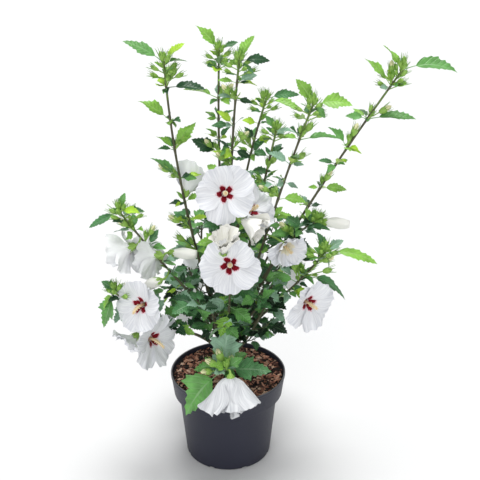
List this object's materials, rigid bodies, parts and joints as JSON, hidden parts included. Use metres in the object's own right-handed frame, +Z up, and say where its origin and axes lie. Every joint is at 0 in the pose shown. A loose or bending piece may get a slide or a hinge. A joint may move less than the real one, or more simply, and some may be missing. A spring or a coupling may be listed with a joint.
{
  "type": "potted hibiscus shrub",
  "caption": "Flowering hibiscus shrub in a round nursery pot: tall leafy shoots over a bushy middle with large white, red-eyed flowers.",
  "frame": {"origin": "middle of the flat underside of the pot", "axes": "+Z up along the plant; -Y is the front, where the lowest flower hangs over the rim; +X is the side of the long leaning shoot"},
  "size_m": [0.5434, 0.3867, 0.7016],
  "materials": {
    "pot_plastic": "satin",
    "soil": "matte",
    "bark": "matte",
    "foliage": "matte",
    "petals": "matte"
  },
  "bodies": {
    "root": {"pot": "pot_plastic", "root_ball": "soil", "trunk": "bark", "bough_centre_tall": "bark", "bough_left_tall": "bark", "bough_right_tall": "bark", "bough_mid_right": "bark", "bough_rear_left": "bark", "bough_rear_right": "bark", "bough_far_right": "bark", "bough_left": "bark", "bough_left_low": "bark", "bough_right": "bark", "bough_right_mid": "bark", "bough_centre_front_high": "bark", "bough_centre_front_low": "bark", "bough_back_mid": "bark", "bough_back_left": "bark", "bough_back_right": "bark", "mass_centre_tall": "foliage", "mass_left_tall": "foliage", "mass_right_tall": "foliage", "mass_mid_right": "foliage", "mass_rear_left": "foliage", "mass_rear_right": "foliage", "mass_far_right": "foliage", "mass_left": "foliage", "mass_left_low": "foliage", "mass_right": "foliage", "mass_right_mid": "foliage", "mass_centre_front_high": "foliage", "mass_centre_front_low": "foliage", "mass_core_left": "foliage", "mass_core_front": "foliage", "mass_core_right": "foliage", "mass_core_low_right": "foliage", "mass_front_low": "foliage", "mass_back_mid": "foliage", "mass_back_left": "foliage", "mass_back_right": "foliage", "mass_core_back_left": "foliage", "mass_core_back_right": "foliage"}
  },
  "joints": []
}
